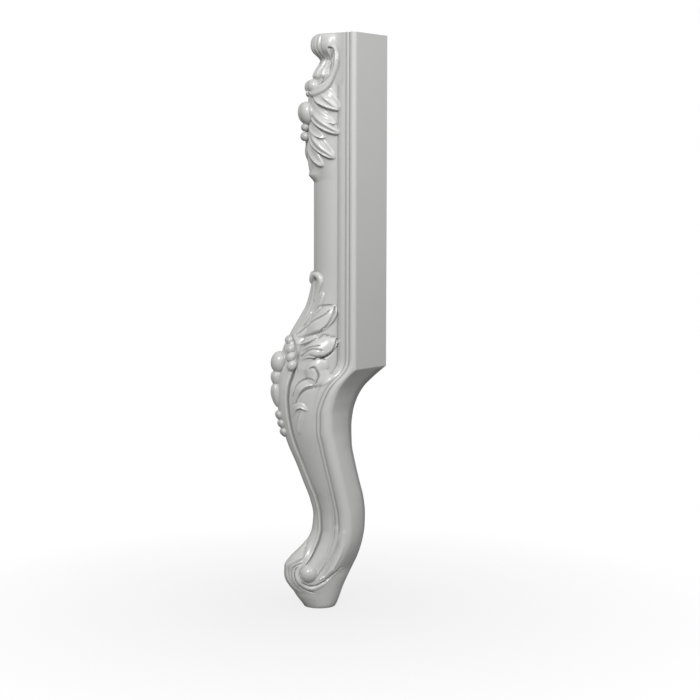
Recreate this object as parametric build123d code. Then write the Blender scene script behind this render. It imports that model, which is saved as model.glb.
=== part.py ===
"""Vanity cabinet leg: a carved cabriole corner leg, made in one piece.

The leg is modelled about the plane through its front corner: X runs forward, Y out to
the side and Z up, with the post's axis at X = Y = 0. One half is carved and mirrored,
and the whole is turned into the shared frame at the end.
"""
import math
import os

from build123d import *

# Main sizes, millimetres.
LEG_HEIGHT = 800.0
POST_SIDE = 80.0
SKIRT_HEIGHT = 340.0
KNEE_RISE = 140.0

# Mouldings of the post, measured along a front face from its side corner.
CORNER_RADIUS = 5.5
QUIRK_DEPTH = 1.5
RIDGE_END = 15.0
RIDGE_RISE = 1.8
BEAD_END = 29.0
BEAD_DEPTH = 2.0
COLUMN_RADIUS = 35.7

# Knee above the skirt: share of the rise, front line, band edge, swell of the field.
BAND_HALF = 18.0
KNEE = [
    (0.82, 47.6, 42.6, 3.0),
    (0.64, 53.0, 46.0, 3.5),
    (0.50, 63.0, 52.0, 4.5),
    (0.36, 76.0, 60.0, 6.0),
    (0.22, 87.5, 67.5, 8.0),
    (0.10, 94.0, 72.5, 9.5),
    (0.00, 97.5, 76.0, 10.5),
]

# Lower leg: share of the skirt height, front line, band edge (forward, out),
# side corner (forward, out), back line, width of the corner round, swell of the back.
RIDGE_WIDTH = 5.8
SWEEP = [
    (0.960, 99.0, 80.5, 17.5, 14.5, 55.5, -40.0, 9.6, 0.5),
    (0.915, 99.6, 85.0, 17.0, 25.5, 54.2, -24.5, 10.2, 1.5),
    (0.870, 99.0, 86.0, 16.2, 32.0, 52.6, -15.4, 10.8, 3.0),
    (0.815, 96.5, 84.3, 15.6, 36.5, 51.0, -9.4, 11.3, 4.5),
    (0.750, 90.8, 80.6, 14.8, 36.5, 49.6, -7.0, 11.5, 6.0),
    (0.680, 83.2, 73.5, 13.8, 32.0, 48.0, -7.6, 11.5, 7.0),
    (0.600, 71.6, 62.6, 13.0, 26.0, 46.2, -12.4, 11.5, 7.5),
    (0.520, 61.2, 52.0, 12.5, 19.5, 44.0, -18.8, 11.5, 7.5),
    (0.450, 52.2, 42.4, 12.0, 14.2, 42.0, -24.6, 11.5, 7.5),
    (0.385, 47.4, 37.8, 12.0, 10.0, 40.6, -26.9, 11.5, 7.5),
    (0.330, 49.0, 37.2, 12.6, 8.8, 39.8, -26.4, 11.5, 7.5),
    (0.285, 55.0, 40.4, 13.6, 10.2, 38.8, -24.2, 11.5, 7.5),
    (0.245, 66.0, 46.5, 15.2, 13.8, 37.2, -20.8, 11.5, 7.0),
    (0.205, 80.5, 54.5, 17.4, 18.8, 34.8, -16.0, 10.5, 6.0),
    (0.165, 90.0, 64.5, 19.4, 25.5, 32.0, -9.4, 9.5, 5.5),
]

# Mouldings of the lower leg: size low down, and what it gains where they fade in at the skirt.
FADE_START = 0.8
FIELD_RISE = (2.0, 2.0)
BEAD_WIDTH = (4.0, 10.0)
BEAD_RISE = (0.4, 1.6)
BEAD_LIFT = 0.4
CORNER_SWELL = 0.4
BACK_LEAVE = 0.7
BACK_SWELL = 0.5
BACK_FLAT = 0.2

# Plain foot below the scroll: height, front line, back line, half width.
FOOT = [
    (42.0, 89.6, -2.4, 30.0),
    (27.0, 80.5, 4.4, 28.0),
    (13.5, 70.4, 9.6, 26.0),
    (3.0, 62.4, 14.4, 24.0),
    (0.0, 60.4, 16.4, 22.0),
]
FOOT_MARKS = [50.0, 84.0, 90.0, 97.0, 118.0, 180.0]
FOOT_FORWARD = (FOOT[-1][1] + FOOT[-1][2]) / 2

# Top of the column, given as drop below the top: the hollow under the scroll
# (forward, drop), the swelling that carries the leaves (drop, front line), and the scroll.
HOLLOW = [(36.5, 31.5), (70.0, 31.5), (70.0, 62.0), (50.0, 58.0)]
HOLLOW_HALF = 25.0
CREST_ANGLE = 76.0
CREST_INSET = 0.5
CREST = [
    (52.0, 44.5),
    (68.0, 50.0),
    (86.0, 56.5),
    (106.0, 60.5),
    (128.0, 61.0),
    (152.0, 57.5),
    (178.0, 51.0),
    (208.0, 44.5),
]
SCROLL_FORWARD = 36.0
SCROLL_DROP = 16.0
SCROLL_RADIUS = 14.5
SCROLL_HALF = 23.0

# Leaves at the top: spine as (angle from the front, drop below the top), half width,
# height, and how far the ridge leans to one side.
TOP_LEAVES = [
    ([(40, 80), (58, 91), (72, 105)], 6.5, 4.0, -0.4),
    ([(20, 86), (46, 96), (70, 109)], 6.5, 5.0, -0.5),
    ([(14, 96), (38, 107), (66, 122)], 6.0, 5.0, -0.5),
    ([(14, 104), (46, 120), (72, 139)], 7.5, 6.0, -0.5),
    ([(12, 120), (28, 133), (52, 148)], 6.0, 5.0, -0.5),
    ([(12, 130), (36, 145), (70, 169)], 7.5, 5.5, -0.5),
    ([(10, 144), (24, 157), (45, 179)], 6.5, 5.0, -0.5),
    ([(6, 158), (11, 177), (18, 196)], 5.5, 4.0, 0.0),
]
TOP_RIBBON = ([(65, 14), (67, 30), (66, 46), (58, 62), (40, 73), (14, 76)], 5.0, 5.0)

# Leaves and ribbons of the knee: the same, with the rise above the skirt.
KNEE_LEAVES = [
    ([(12, 66), (26, 88), (57, 106)], 7.0, 3.5, 0.4),
    ([(18, 44), (50, 66), (92, 86)], 8.0, 4.5, 0.3),
    ([(26, 40), (50, 53), (75, 60)], 5.0, 4.0, -0.4),
    ([(34, 25), (74, 36), (112, 39)], 8.0, 4.5, 0.3),
    ([(38, -44), (49, -23), (66, -14), (81, -17)], 4.0, 4.0, -0.3),
    ([(40, -50), (56, -33), (83, -26)], 4.5, 4.0, -0.3),
    ([(28, -66), (47, -51), (62, -57)], 4.0, 3.5, -0.3),
    ([(60, -55), (48, -71), (41, -87)], 3.5, 2.5, 0.0),
]
KNEE_STEM = ([(0, 26), (0, 60), (0, 95), (0, 124)], 8.0, 5.0, 0.0)
KNEE_RIBBONS = [
    ([(68, 10), (90, 11), (104, 0), (96, -15), (80, -19)], 5.5, 5.0),
    ([(66, -1), (80, 0), (86, -8), (78, -15)], 3.0, 4.0),
]
KNEE_HEART = 45.0

# Sections of a leaf and of a ribbon along the spine: share of its length, share of its width.
LEAF_SECTIONS = [(0.06, 0.45), (0.25, 0.9), (0.5, 1.0), (0.78, 0.72)]
RIBBON_SECTIONS = [(0.0, 0.7), (0.2, 1.0), (0.4, 1.0), (0.6, 1.0), (0.8, 1.0), (1.0, 0.7)]
RIBBON_FLAT = 0.6
SINK = 2.5

# Ball and buds on the centre line: forward, drop below the top, radius.
BALL_AND_BUDS = [(50.6, 70.6, 9.9), (57.2, 106.0, 13.4), (60.5, 127.0, 5.4), (59.5, 139.5, 6.2)]
# Cabochon (forward, rise above the skirt, radius) and the husks that hang below it
# (forward, rise of the wide end, its radius, length).
CABOCHON = (93.8, 7.6, 13.9)
HUSKS = [
    (98.6, -6.0, 8.6, 21.0),
    (99.4, -24.0, 8.2, 25.0),
    (95.6, -56.0, 6.6, 12.0),
    (91.6, -67.5, 6.4, 12.0),
    (88.6, -81.0, 6.0, 16.0),
]
HUSK_TAPER = 0.5
# Bead string at the side of the knee: angle, rise above the skirt, radius.
KNEE_BEADS = [(9, 39, 4.6), (19, 28, 5.2), (25, 16, 5.8), (28, 4, 6.4)]
CURL_FORWARD = 47.2
CURL_RISE = 127.0
CURL_RADIUS = 6.2
CURL_HALF = 7.0

# Scroll toe: centre of the eye, and the ridges around it (distance out, radius, half width).
TOE_EYE = (57.8, 21.0, 48.8)
TOE_EYE_RADIUS = 12.4
TOE_RINGS = [(26.0, 15.6, 3.0), (21.0, 20.6, 3.6), (15.0, 26.5, 3.8), (7.5, 31.5, 4.0)]
TOE_RING_ROOT = 3.0

HALF_DIAGONAL = POST_SIDE / math.sqrt(2)
SIDE_CORNER = (0.0, HALF_DIAGONAL)
FRONT_CORNER = (HALF_DIAGONAL, 0.0)
BACK_CORNER = (-HALF_DIAGONAL, 0.0)
KNEE_TOP = SKIRT_HEIGHT + KNEE_RISE


def on_face(corner, toward, along, out):
    """Point of a section: so far from the corner along a face, so far out of it."""
    ux, uy = toward[0] - corner[0], toward[1] - corner[1]
    length = math.hypot(ux, uy)
    ux, uy = ux / length, uy / length
    return (corner[0] + along * ux - out * uy, corner[1] + along * uy + out * ux)


def bulge(start, end, rise):
    """Arc from start to end, front to back, that swells out by the rise."""
    dx, dy = end[0] - start[0], end[1] - start[1]
    length = math.hypot(dx, dy)
    middle_x = (start[0] + end[0]) / 2 + rise * dy / length
    middle_y = (start[1] + end[1]) / 2 - rise * dx / length
    return [start, (middle_x, middle_y), end]


def across(front, band):
    """Arc across the front, from one band edge over the front line to the other."""
    return [(band[0], -band[1]), (front, 0.0), band]


def edge_at(points, z):
    """Edge through two or three points of a section at height z."""
    placed = [(x, y, z) for x, y in points]
    if len(placed) == 2:
        return Line(*placed)
    return ThreePointArc(*placed)


def section_wire(front, arcs, z):
    """Closed section: the front, the arcs of one half from front to back, and their mirror."""
    other = [[(x, -y) for x, y in reversed(points)] for points in reversed(arcs)]
    return Wire([edge_at(points, z) for points in [front] + arcs + other])


def post_arcs():
    """Arcs of one half of the post behind its column."""
    reach = math.sqrt(CORNER_RADIUS**2 - (CORNER_RADIUS - QUIRK_DEPTH) ** 2)
    bead = on_face(SIDE_CORNER, FRONT_CORNER, BEAD_END, -BEAD_DEPTH)
    ridge = on_face(SIDE_CORNER, FRONT_CORNER, RIDGE_END, -QUIRK_DEPTH)
    quirk = on_face(SIDE_CORNER, FRONT_CORNER, CORNER_RADIUS + reach, -QUIRK_DEPTH)
    middle = on_face(SIDE_CORNER, FRONT_CORNER, CORNER_RADIUS, -CORNER_RADIUS)
    crown = (middle[0], middle[1] + CORNER_RADIUS)
    leave = on_face(SIDE_CORNER, FRONT_CORNER, 0.0, -CORNER_RADIUS)
    return [
        bulge(bead, ridge, BEAD_DEPTH),
        bulge(ridge, quirk, RIDGE_RISE),
        [quirk, crown, leave],
        [leave, BACK_CORNER],
    ]


def lower_arcs(band, corner, back, corner_width, swell, fade):
    """Arcs of one half of the lower leg, from the band edge to the back."""
    ridge_start = corner_width + RIDGE_WIDTH
    quirk = on_face(corner, band, corner_width, -QUIRK_DEPTH)
    ridge = on_face(corner, band, ridge_start, -QUIRK_DEPTH)
    bead_start = ridge_start + BEAD_WIDTH[0] + BEAD_WIDTH[1] * fade
    bead = on_face(corner, band, bead_start, BEAD_LIFT - BEAD_DEPTH * fade)
    leave = on_face(corner, back, corner_width, -BACK_LEAVE * swell)
    return [
        bulge(band, bead, FIELD_RISE[0] + FIELD_RISE[1] * fade),
        bulge(bead, ridge, BEAD_RISE[0] + BEAD_RISE[1] * fade),
        bulge(ridge, quirk, RIDGE_RISE),
        bulge(quirk, leave, CORNER_SWELL * corner_width),
        bulge(leave, back, BACK_SWELL * swell + BACK_FLAT),
    ]


# The post: a prism with the mouldings and the plain backs, and the round column.
post = post_arcs()
bead_point = post[0][0]
chord = [(bead_point[0], -bead_point[1]), bead_point]
column_middle = bead_point[0] - math.sqrt(COLUMN_RADIUS**2 - bead_point[1] ** 2)
back_face = Face(section_wire(chord, post, SKIRT_HEIGHT))
back_post = extrude(back_face, LEG_HEIGHT - SKIRT_HEIGHT, dir=(0, 0, 1))


def column_rim(angle):
    """Point on the round of the column, at an angle from the front."""
    turn = math.radians(angle)
    return (column_middle + COLUMN_RADIUS * math.cos(turn), COLUMN_RADIUS * math.sin(turn))


def front_wire(front, field, z):
    """Section of the front of the post, in front of the chord."""
    mirror_field = [(x, -y) for x, y in reversed(field)]
    lines = [across(front, field[0]), field, list(reversed(chord)), mirror_field]
    return Wire([edge_at(points, z) for points in lines])


band_turn = math.degrees(math.asin(BAND_HALF / COLUMN_RADIUS))
bead_turn = math.degrees(math.asin(bead_point[1] / COLUMN_RADIUS))
round_field = [column_rim(angle) for angle in (band_turn, (band_turn + bead_turn) / 2, bead_turn)]
column_wire = front_wire(column_middle + COLUMN_RADIUS, round_field, KNEE_TOP)
column = extrude(Face(column_wire), LEG_HEIGHT - KNEE_TOP, dir=(0, 0, 1))

# The knee, where the column swells forward down to the skirt.
knee_wires = [column_wire]
for share, front, forward, swell in KNEE:
    field = bulge((forward, BAND_HALF), bead_point, swell)
    knee_wires.append(front_wire(front, field, SKIRT_HEIGHT + share * KNEE_RISE))
knee = Solid.make_loft(knee_wires)

# The lower leg, from the skirt section down through the toe to the foot pad.
skirt_share, skirt_front, skirt_forward, skirt_swell = KNEE[-1]
skirt_band = (skirt_forward, BAND_HALF)
skirt_arcs = [bulge(skirt_band, bead_point, skirt_swell)] + post
leg_wires = [section_wire(across(skirt_front, skirt_band), skirt_arcs, SKIRT_HEIGHT)]
for share, front, band_x, band_y, side_x, side_y, back, corner_width, swell in SWEEP:
    fade = max(0.0, (share - FADE_START) / (1 - FADE_START))
    band = (band_x, band_y)
    arcs = lower_arcs(band, (side_x, side_y), (back, 0.0), corner_width, swell, fade)
    leg_wires.append(section_wire(across(front, band), arcs, share * SKIRT_HEIGHT))


def foot_wire(front, back, half_width, z):
    """Oval section of the foot, cut into as many arcs as the leg's own."""

    def rim(angle):
        turn = math.radians(angle)
        return ((front + back) / 2 + (front - back) / 2 * math.cos(turn), half_width * math.sin(turn))

    arcs = [[rim(a), rim((a + b) / 2), rim(b)] for a, b in zip(FOOT_MARKS, FOOT_MARKS[1:])]
    return section_wire(across(front, rim(FOOT_MARKS[0])), arcs, z)


for z, front, back, half_width in FOOT:
    leg_wires.append(foot_wire(front, back, half_width, z))
lower = Solid.make_loft(leg_wires)


def crest_wire(drop, front):
    """Crescent section of the swelling at the top, closed inside the column."""
    x, y = column_rim(CREST_ANGLE)
    side = (x - CREST_INSET, y - CREST_INSET)
    lines = [across(front, side), [side, (side[0], -side[1])]]
    return Wire([edge_at(points, LEG_HEIGHT - drop) for points in lines])


crest = Solid.make_loft([crest_wire(drop, front) for drop, front in CREST])
hollow_line = Polyline(*[(x, LEG_HEIGHT - drop) for x, drop in HOLLOW], close=True)
hollow = extrude(Plane.XZ * make_face(hollow_line), HOLLOW_HALF, both=True)
plain = back_post + column + knee + lower + crest - hollow
skin = plain.solid().shells()[0]


def seat(angle, z):
    """Point and outward direction on the plain leg, at an angle from the front."""
    rise = min(max((z - SKIRT_HEIGHT) / KNEE_RISE, 0.0), 1.0)
    heart = Vector(KNEE_HEART + (column_middle - KNEE_HEART) * rise, 0, z)
    turn = math.radians(angle)
    ray = Vector(math.cos(turn), math.sin(turn), 0)
    hits = skin.find_intersection_points(Axis(heart, ray))
    point, normal = max(hits, key=lambda hit: (hit[0] - heart).dot(ray))
    if normal.dot(ray) < 0:
        normal = -normal
    return point, normal


def spine_planes(seats, shares):
    """Planes across a spine laid through the seats: X to the side, Y out of the surface."""
    line = Spline([point for point, normal in seats])
    planes = []
    for share in shares:
        place = min(share * (len(seats) - 1), len(seats) - 1.001)
        first = int(place)
        up = seats[first][1] * (first + 1 - place) + seats[first + 1][1] * (place - first)
        run = line % share
        planes.append(Plane(origin=line @ share, x_dir=up.cross(run), z_dir=run))
    return planes


def leaf(spine, half_width, height, lean):
    """Leaf blade with a sharp ridge, pointed at both ends."""
    seats = [seat(angle, z) for angle, z in spine]
    wires = []
    planes = spine_planes(seats, [share for share, width in LEAF_SECTIONS])
    for plane, (share, width) in zip(planes, LEAF_SECTIONS):
        reach = half_width * width
        points = [(-reach, -SINK), (reach, -SINK), (reach, 0), (lean * reach, height * width), (-reach, 0)]
        wires.append(Wire.make_polygon([plane.from_local_coords(p) for p in points]))
    ends = [Vertex(point - normal * SINK / 2) for point, normal in (seats[0], seats[-1])]
    return Solid.make_loft([ends[0]] + wires + [ends[1]])


def ribbon(spine, half_width, height):
    """Flat-topped band along its spine."""
    seats = [seat(angle, z) for angle, z in spine]
    wires = []
    planes = spine_planes(seats, [share for share, width in RIBBON_SECTIONS])
    for plane, (share, width) in zip(planes, RIBBON_SECTIONS):
        reach = half_width * width
        flat = RIBBON_FLAT * reach
        top = height * width
        points = [(-reach, -SINK), (reach, -SINK), (reach, 0), (flat, top), (-flat, top), (-reach, 0)]
        wires.append(Wire.make_polygon([plane.from_local_coords(p) for p in points]))
    return Solid.make_loft(wires)


def from_top(spine):
    return [(angle, LEG_HEIGHT - drop) for angle, drop in spine]


def from_skirt(spine):
    return [(angle, SKIRT_HEIGHT + rise) for angle, rise in spine]


# The carving of one half, in groups that are fused one after another.
half_room = Pos(0, LEG_HEIGHT / 2, LEG_HEIGHT / 2) * Box(LEG_HEIGHT, LEG_HEIGHT, 2 * LEG_HEIGHT)
top_leaves = [leaf(from_top(spine), *sizes) for spine, *sizes in TOP_LEAVES]
knee_leaves = [leaf(from_skirt(spine), *sizes) for spine, *sizes in KNEE_LEAVES]

beads = []
for angle, rise, radius in KNEE_BEADS:
    point, normal = seat(angle, SKIRT_HEIGHT + rise)
    beads.append(Pos(*point) * Sphere(radius))

toe = [Pos(*TOE_EYE) * Sphere(TOE_EYE_RADIUS)]
for out, radius, reach in TOE_RINGS:
    inner, outer = radius - reach, radius + reach
    shoulder, root = out - reach, out - TOE_RING_ROOT * reach
    ridge = [(inner, root), (inner, shoulder), (radius, out), (outer, shoulder), (outer, root)]
    ring = revolve(make_face(Polyline(*ridge, close=True)), Axis.Y)
    toe.append(Pos(TOE_EYE[0], 0, TOE_EYE[2]) * ring)


def barrel(x, z, radius, half_length):
    """Half of a level roller across the front, from the centre line outward."""
    roller = Cylinder(radius, half_length, align=(Align.CENTER, Align.CENTER, Align.MIN))
    return Pos(x, 0, z) * Rot(-90, 0, 0) * roller


scroll = barrel(SCROLL_FORWARD, LEG_HEIGHT - SCROLL_DROP, SCROLL_RADIUS, SCROLL_HALF)
curl = barrel(CURL_FORWARD, SKIRT_HEIGHT + CURL_RISE, CURL_RADIUS, CURL_HALF)

# Round bosses are turned so that their seam lies in the half that is cut away.
away = Rot(0, 0, -90)
bosses = [Pos(x, 0, LEG_HEIGHT - drop) * away * Sphere(radius) for x, drop, radius in BALL_AND_BUDS]
bosses.append(Pos(CABOCHON[0], 0, SKIRT_HEIGHT + CABOCHON[1]) * away * Sphere(CABOCHON[2]))
for x, rise, radius, length in HUSKS:
    husk = Cone(HUSK_TAPER * radius, radius, length, align=(Align.CENTER, Align.CENTER, Align.MAX))
    bosses.append(Pos(x, 0, SKIRT_HEIGHT + rise) * away * husk)

ribbons = [ribbon(from_top(TOP_RIBBON[0]), *TOP_RIBBON[1:])]
ribbons += [ribbon(from_skirt(spine), *sizes) for spine, *sizes in KNEE_RIBBONS]
stem_spine, *stem_sizes = KNEE_STEM
stem = leaf(from_skirt(stem_spine), *stem_sizes)

half = (plain & half_room).solid()
for group in ([scroll, curl], ribbons, bosses, [stem], beads, toe, knee_leaves, top_leaves):
    half = half.fuse(*[piece & half_room for piece in group]).solid()
whole = half.fuse(mirror(half, about=Plane.XZ)).solid()

# Into the shared frame: foot pad at the origin, plain backs facing +X and +Y.
leg = Rot(0, 0, 225) * Pos(-FOOT_FORWARD, 0, 0) * whole
os.makedirs("parts", exist_ok=True)
export_step(leg, "parts/leg.step")
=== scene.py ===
# %% [markdown]
# # A carved leg for a vanity cabinet
# The real leg is one piece of carved wood under a satin grey paint. Its solid comes from
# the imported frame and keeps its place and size. This script dresses it with the crisp
# carving and the paint. A sculptor would carve by hand. Here every leaf is a rule on a fine
# skin, so that its sizes can be read and changed.

import math

import bpy
import numpy as np
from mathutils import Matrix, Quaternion, Vector


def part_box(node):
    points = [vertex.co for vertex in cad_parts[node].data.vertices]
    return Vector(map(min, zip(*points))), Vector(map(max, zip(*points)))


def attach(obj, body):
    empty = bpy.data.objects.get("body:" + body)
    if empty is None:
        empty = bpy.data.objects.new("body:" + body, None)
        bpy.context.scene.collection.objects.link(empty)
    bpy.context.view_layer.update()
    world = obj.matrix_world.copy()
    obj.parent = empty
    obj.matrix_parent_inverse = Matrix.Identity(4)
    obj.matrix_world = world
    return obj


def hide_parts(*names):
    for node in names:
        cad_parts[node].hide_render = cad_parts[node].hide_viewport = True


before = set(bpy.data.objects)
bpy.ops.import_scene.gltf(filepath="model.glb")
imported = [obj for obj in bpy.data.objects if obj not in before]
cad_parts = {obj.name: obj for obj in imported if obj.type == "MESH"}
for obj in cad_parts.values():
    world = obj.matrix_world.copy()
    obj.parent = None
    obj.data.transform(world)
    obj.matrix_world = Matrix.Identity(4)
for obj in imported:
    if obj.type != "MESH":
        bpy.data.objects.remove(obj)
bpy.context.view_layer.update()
scene = bpy.context.scene
scene.view_settings.view_transform = "Standard"
MM = 0.001
leg_low, leg_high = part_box("leg")
LEG_HEIGHT = round((leg_high.z - leg_low.z) / MM, 3)
print("leg height, mm:", LEG_HEIGHT)

# %% [markdown]
# ## The camera
# The photograph was taken a little above the middle of the leg, from a distance, with a
# long lens. The camera could be moved by eye until the picture fits. A long lens keeps the
# post's edges nearly parallel, so here the lens and the distance are set together, and the
# direction is given by three angles that can be read.

# %% Camera
CAMERA_PLACE = (1.4021, -1.9606, 0.5907)
VIEW_TURN = math.radians(34.54)
VIEW_DROP = math.radians(5.41)
VIEW_ROLL = math.radians(0.12)
lens = bpy.data.cameras.new("photo_lens")
lens.lens = 88.85
lens.sensor_width = 36.0
lens.shift_x = -0.0009
lens.shift_y = 0.0012
camera = bpy.data.objects.new("photo_camera", lens)
scene.collection.objects.link(camera)
camera.location = CAMERA_PLACE
level = math.cos(VIEW_DROP)
ahead = Vector(
    (-math.sin(VIEW_TURN) * level, math.cos(VIEW_TURN) * level, -math.sin(VIEW_DROP))
)
roll = Quaternion((0.0, 0.0, 1.0), VIEW_ROLL)
camera.rotation_mode = "QUATERNION"
camera.rotation_quaternion = ahead.to_track_quat("-Z", "Y") @ roll
scene.camera = camera
print("camera at", tuple(round(c, 3) for c in camera.location))

# %% [markdown]
# ## Shader sums
# A paint is easier to read as a sum than as a web of boxes. This small class wraps one
# socket of a node tree: a sum or product on it adds a Math node, `mix` goes from one colour
# to another, and `add` makes any other node.


# %% Shader sums
class Tint:
    """A socket in a node tree. Sums and products on it add Math nodes."""

    def __init__(self, tree, socket=None):
        self.tree = tree
        self.socket = socket

    def add(self, kind, settings=None, inputs=None, out=0):
        """New node: its settings first, then values or links for its sockets."""
        node = self.tree.nodes.new(kind)
        for name, value in (settings or {}).items():
            setattr(node, name, value)
        for name, value in (inputs or {}).items():
            if isinstance(value, Tint):
                self.tree.links.new(value.socket, node.inputs[name])
            else:
                node.inputs[name].default_value = value
        return Tint(self.tree, node.outputs[out]) if node.outputs else None

    def mix(self, first, second, share):
        """Colour between two colours, by a share from 0 to 1."""
        inputs = {0: share, 6: first, 7: second}
        return self.add("ShaderNodeMix", {"data_type": "RGBA"}, inputs, out=2)

    def math(self, operation, first, second):
        return self.add("ShaderNodeMath", {"operation": operation}, {0: first, 1: second})

    def __add__(self, other):
        return self.math("ADD", self, other)

    __radd__ = __add__

    def __mul__(self, other):
        return self.math("MULTIPLY", self, other)

    __rmul__ = __mul__

    def __sub__(self, other):
        return self.math("SUBTRACT", self, other)

    def __rsub__(self, other):
        return self.math("SUBTRACT", other, self)


def new_tree(owner):
    """Empty node tree of a material or a world."""
    owner.use_nodes = True
    owner.node_tree.nodes.clear()
    return Tint(owner.node_tree)


print("shader sums ready")

# %% [markdown]
# ## The paint
# The leg has a satin grey paint over smooth wood. Sprayed paint has a very fine ripple,
# and its tone wanders a little. Over that, shade is painted into the bottoms of the carving
# and highlight onto its ridges. A painted picture could show that, but it would fit this
# one leg only. Here the carving writes its own relief into an attribute of the mesh, and the
# paint reads it there as painted shade and painted highlight.

# %% Paint
GREY = (0.500, 0.500, 0.492, 1.0)
# Painted shade in the hollows and a darker random tone both mix towards this grey; painted
# highlight on the ridges mixes towards the lighter grey after it.
GREY_SHADE_AND_TONE = (0.330, 0.328, 0.322, 1.0)
GREY_PAINTED_HIGHLIGHT = (0.640, 0.640, 0.630, 1.0)
# How fine the patterns are, per metre. The grain is drawn out along the leg.
RIPPLE_SCALE = 900.0
CLOUD_SCALE = 22.0
GRAIN_SCALE = (420.0, 420.0, 14.0)
NOISE_MIDDLE = 0.5
# How much each pattern tints or roughens the paint.
# Strength of the painted shade in the hollows and of the painted highlight on the ridges.
PAINTED_SHADE_TINT = -1.0
PAINTED_HIGHLIGHT_TINT = 0.75
CLOUD_TINT = 0.16
SATIN = 0.31
CLOUD_ROUGHNESS = 0.12
RIPPLE_ROUGHNESS = 0.06
RIPPLE_BUMP = 0.6
GRAIN_BUMP = 0.4
paint = bpy.data.materials.new("satin_grey_paint")
tree = new_tree(paint)
place = tree.add("ShaderNodeTexCoord", out="Object")
ripple = tree.add(
    "ShaderNodeTexNoise", None, {"Vector": place, "Scale": RIPPLE_SCALE, "Detail": 2.0}
)
cloud = tree.add(
    "ShaderNodeTexNoise", None, {"Vector": place, "Scale": CLOUD_SCALE, "Detail": 4.0}
)
grain_place = tree.add("ShaderNodeMapping", None, {"Vector": place, "Scale": GRAIN_SCALE})
grain = tree.add(
    "ShaderNodeTexNoise", None, {"Vector": grain_place, "Scale": 1.0, "Detail": 3.0}
)
# The carving's relief, read from the mesh: hollows get painted shade, ridges painted highlight.
depth = tree.add("ShaderNodeAttribute", {"attribute_name": "carved_depth"}, out="Fac")
drift = cloud - NOISE_MIDDLE
toned = tree.mix(GREY, GREY_SHADE_AND_TONE, depth * PAINTED_SHADE_TINT)
toned = tree.mix(toned, GREY_PAINTED_HIGHLIGHT, depth * PAINTED_HIGHLIGHT_TINT)
toned = tree.mix(toned, GREY_SHADE_AND_TONE, drift * CLOUD_TINT)
rough = SATIN + drift * CLOUD_ROUGHNESS + (ripple - NOISE_MIDDLE) * RIPPLE_ROUGHNESS
uneven = ripple * RIPPLE_BUMP + grain * GRAIN_BUMP
bump = tree.add(
    "ShaderNodeBump", None, {"Height": uneven, "Strength": 0.10, "Distance": 0.0004}
)
surface = tree.add(
    "ShaderNodeBsdfPrincipled",
    None,
    {
        "Base Color": toned,
        "Roughness": rough,
        "Normal": bump,
        "Coat Weight": 0.25,
        "Coat Roughness": 0.16,
    },
)
tree.add("ShaderNodeOutputMaterial", None, {"Surface": surface})
print("paint:", len(tree.tree.nodes), "nodes")

# %% [markdown]
# ## The post
# Before any carving the leg is a stack of level sections: a square post with mouldings and
# a round column on its front corner, a knee, a sweep and a small foot. Each half section is
# six arcs between seven points. A loft could join them, but a grid of points is easier to
# carve afterwards. The post comes first, because its mouldings lead into all the others.
# Sizes are in millimetres, forward from the post's axis, out to the side, and up.

# %% Post section
POST_SIDE = 80.0
CORNER_RADIUS = 5.5
QUIRK_DEPTH = 1.5
RIDGE_END = 15.0
RIDGE_RISE = 1.8
BEAD_END = 29.0
BEAD_DEPTH = 2.0
COLUMN_RADIUS = 35.7
BAND_HALF = 18.0
# An arc that rises no more than this is as good as straight.
FLAT_RISE = 0.001
HALF_DIAGONAL = POST_SIDE / math.sqrt(2)


def on_face(corner, toward, along, out):
    """Point so far from the corner along a face, and so far out of it."""
    corner = np.array(corner)
    run = np.array(toward) - corner
    run = run / np.linalg.norm(run)
    return corner + along * run + out * np.array((-run[1], run[0]))


def chord_rise(radius, start, end):
    """How far an arc of this radius rises over its chord."""
    half = np.linalg.norm(np.subtract(end, start)) / 2
    return radius - math.sqrt(radius**2 - half**2)


def row(front, band, bead, ridge, quirk, leave, back, rises):
    """One half section as a row of numbers: seven points and five rises."""
    return np.concatenate([[front], band, bead, ridge, quirk, leave, [back], rises])


side_corner = (0.0, HALF_DIAGONAL)
front_corner = (HALF_DIAGONAL, 0.0)
quirk_reach = math.sqrt(CORNER_RADIUS**2 - (CORNER_RADIUS - QUIRK_DEPTH) ** 2)
bead = on_face(side_corner, front_corner, BEAD_END, -BEAD_DEPTH)
ridge = on_face(side_corner, front_corner, RIDGE_END, -QUIRK_DEPTH)
quirk = on_face(side_corner, front_corner, CORNER_RADIUS + quirk_reach, -QUIRK_DEPTH)
leave = on_face(side_corner, front_corner, 0.0, -CORNER_RADIUS)
post_rises = [BEAD_DEPTH, RIDGE_RISE, chord_rise(CORNER_RADIUS, quirk, leave), FLAT_RISE]


def post_row(front, band_x, field_rise):
    """Half section of the post with this front line, band edge and swell of the field."""
    rises = [field_rise] + post_rises
    return row(front, (band_x, BAND_HALF), bead, ridge, quirk, leave, -HALF_DIAGONAL, rises)


column_middle = bead[0] - math.sqrt(COLUMN_RADIUS**2 - bead[1] ** 2)
column_band = column_middle + math.sqrt(COLUMN_RADIUS**2 - BAND_HALF**2)
column_rise = chord_rise(COLUMN_RADIUS, (column_band, BAND_HALF), bead)
column_row = post_row(column_middle + COLUMN_RADIUS, column_band, column_rise)
print("column axis stands", round(column_middle, 2), "mm in front of the post's axis")

# %% [markdown]
# ## Knee, sweep and foot
# Below the column the leg swells into a knee, sweeps back in a long S and ends in a small
# round foot. A joiner saws this form from a square blank and rounds it by hand. One section
# bent along a curve could not do it, because the section itself changes on the way down, so
# a few sections are listed and the rest are drawn smoothly between them.

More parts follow.
